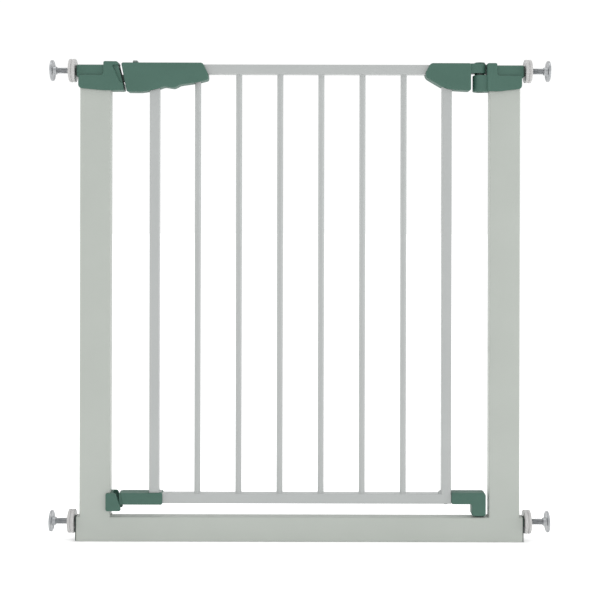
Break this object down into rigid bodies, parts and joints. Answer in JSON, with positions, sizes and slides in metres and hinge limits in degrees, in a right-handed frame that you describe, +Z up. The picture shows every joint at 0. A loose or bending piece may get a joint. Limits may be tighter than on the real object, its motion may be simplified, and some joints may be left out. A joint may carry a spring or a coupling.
{
  "type": "safety baby gate",
  "caption": "Pressure-fit steel safety gate for a doorway: U-shaped frame, barred door that lifts and swings on pins, sprung thumb latch, screw-out wall pads",
  "frame": {"origin": "middle of the bottom rail's underside, on the floor in the plane of the gate", "axes": "+X along the gate to the hinge side, +Y through the doorway away from the viewer, +Z up"},
  "size_m": [0.813, 0.038, 0.7855],
  "materials": {
    "frame_paint": "satin pale grey-green powder coat",
    "door_paint": "satin light grey powder coat",
    "green_plastic": "fine-grained dark sage green moulding",
    "pale_plastic": "satin pale grey moulding",
    "grey_plastic": "matte dark grey moulding",
    "black_nylon": "satin black nylon",
    "zinc_steel": "bright zinc plate",
    "spring_steel": "drawn spring wire"
  },
  "bodies": {
    "frame": {"bottom_rail": "frame_paint", "left_post": "frame_paint", "right_post": "frame_paint", "keeper_housing": "green_plastic", "strike_insert": "black_nylon", "keeper_screw": "zinc_steel", "hinge_block": "green_plastic", "hinge_block_screw": "zinc_steel", "lower_catch": "green_plastic", "lower_catch_screw": "zinc_steel", "upper_left_spindle_guide": "black_nylon", "upper_right_spindle_guide": "black_nylon", "lower_left_spindle_guide": "black_nylon", "lower_right_spindle_guide": "black_nylon"},
    "pivot_bushes": {"upper_hinge_bush": "black_nylon", "lower_hinge_bush": "black_nylon"},
    "door": {"door_bottom_rail": "door_paint", "door_top_rail": "door_paint", "door_left_stile": "door_paint", "door_right_stile": "door_paint", "bar_1": "door_paint", "bar_2": "door_paint", "bar_3": "door_paint", "bar_4": "door_paint", "bar_5": "door_paint", "bar_6": "door_paint", "handle_front_shell": "green_plastic", "handle_back_shell": "green_plastic", "handle_screw_1": "zinc_steel", "handle_screw_2": "zinc_steel", "latch_spring": "spring_steel", "hinge_arm_front_shell": "green_plastic", "hinge_arm_back_shell": "green_plastic", "hinge_arm_screw_1": "zinc_steel", "hinge_arm_screw_2": "zinc_steel", "upper_hinge_pin": "zinc_steel", "hinge_pin_cap": "green_plastic", "lower_hinge_foot": "green_plastic", "hinge_foot_screw": "zinc_steel", "lower_hinge_pin": "zinc_steel", "lower_latch_bar": "green_plastic"},
    "latch_slider": {"latch_bolt": "black_nylon", "thumb_button": "grey_plastic"},
    "upper_left_wheel": {"upper_left_wheel": "pale_plastic"},
    "upper_left_spindle": {"upper_left_spindle": "zinc_steel", "upper_left_wall_pad": "zinc_steel"},
    "upper_right_wheel": {"upper_right_wheel": "pale_plastic"},
    "upper_right_spindle": {"upper_right_spindle": "zinc_steel", "upper_right_wall_pad": "zinc_steel"},
    "lower_left_wheel": {"lower_left_wheel": "pale_plastic"},
    "lower_left_spindle": {"lower_left_spindle": "zinc_steel", "lower_left_wall_pad": "zinc_steel"},
    "lower_right_wheel": {"lower_right_wheel": "pale_plastic"},
    "lower_right_spindle": {"lower_right_spindle": "zinc_steel", "lower_right_wall_pad": "zinc_steel"}
  },
  "joints": [
    {"name": "door_swing", "type": "hinge", "parent": "frame", "child": "pivot_bushes", "pos_m": [0.293, 0, 0], "axis": [0, 0, 1], "range_deg": [-90, 90]},
    {"name": "door_lift", "type": "slide", "parent": "pivot_bushes", "child": "door", "axis": [0, 0, 1], "range_m": [0, 0.012]},
    {"name": "latch_slide", "type": "slide", "parent": "door", "child": "latch_slider", "axis": [1, 0, 0], "range_m": [0, 0.01], "stiffness_N_per_m": 300, "springref_m": -0.01, "deforming": ["latch_spring"]},
    {"name": "upper_left_wheel_turn", "type": "hinge", "parent": "frame", "child": "upper_left_wheel", "pos_m": [-0.3715, 0, 0.7665], "axis": [-1, 0, 0], "range_deg": [-3841, 1201]},
    {"name": "upper_left_spindle_screw", "type": "slide", "parent": "frame", "child": "upper_left_spindle", "axis": [-1, 0, 0], "range_m": [-0.016, 0.005]},
    {"name": "upper_right_wheel_turn", "type": "hinge", "parent": "frame", "child": "upper_right_wheel", "pos_m": [0.3715, 0, 0.7665], "axis": [1, 0, 0], "range_deg": [-3841, 1201]},
    {"name": "upper_right_spindle_screw", "type": "slide", "parent": "frame", "child": "upper_right_spindle", "axis": [1, 0, 0], "range_m": [-0.016, 0.005]},
    {"name": "lower_left_wheel_turn", "type": "hinge", "parent": "frame", "child": "lower_left_wheel", "pos_m": [-0.3715, 0, 0.031], "axis": [-1, 0, 0], "range_deg": [-3841, 1201]},
    {"name": "lower_left_spindle_screw", "type": "slide", "parent": "frame", "child": "lower_left_spindle", "axis": [-1, 0, 0], "range_m": [-0.016, 0.005]},
    {"name": "lower_right_wheel_turn", "type": "hinge", "parent": "frame", "child": "lower_right_wheel", "pos_m": [0.3715, 0, 0.031], "axis": [1, 0, 0], "range_deg": [-3841, 1201]},
    {"name": "lower_right_spindle_screw", "type": "slide", "parent": "frame", "child": "lower_right_spindle", "axis": [1, 0, 0], "range_m": [-0.016, 0.005]}
  ],
  "couplings": [
    {"joint": "upper_left_wheel_turn", "follows": "upper_left_spindle_screw", "rad_per_m": 4188.8},
    {"joint": "upper_right_wheel_turn", "follows": "upper_right_spindle_screw", "rad_per_m": 4188.8},
    {"joint": "lower_left_wheel_turn", "follows": "lower_left_spindle_screw", "rad_per_m": 4188.8},
    {"joint": "lower_right_wheel_turn", "follows": "lower_right_spindle_screw", "rad_per_m": 4188.8}
  ]
}
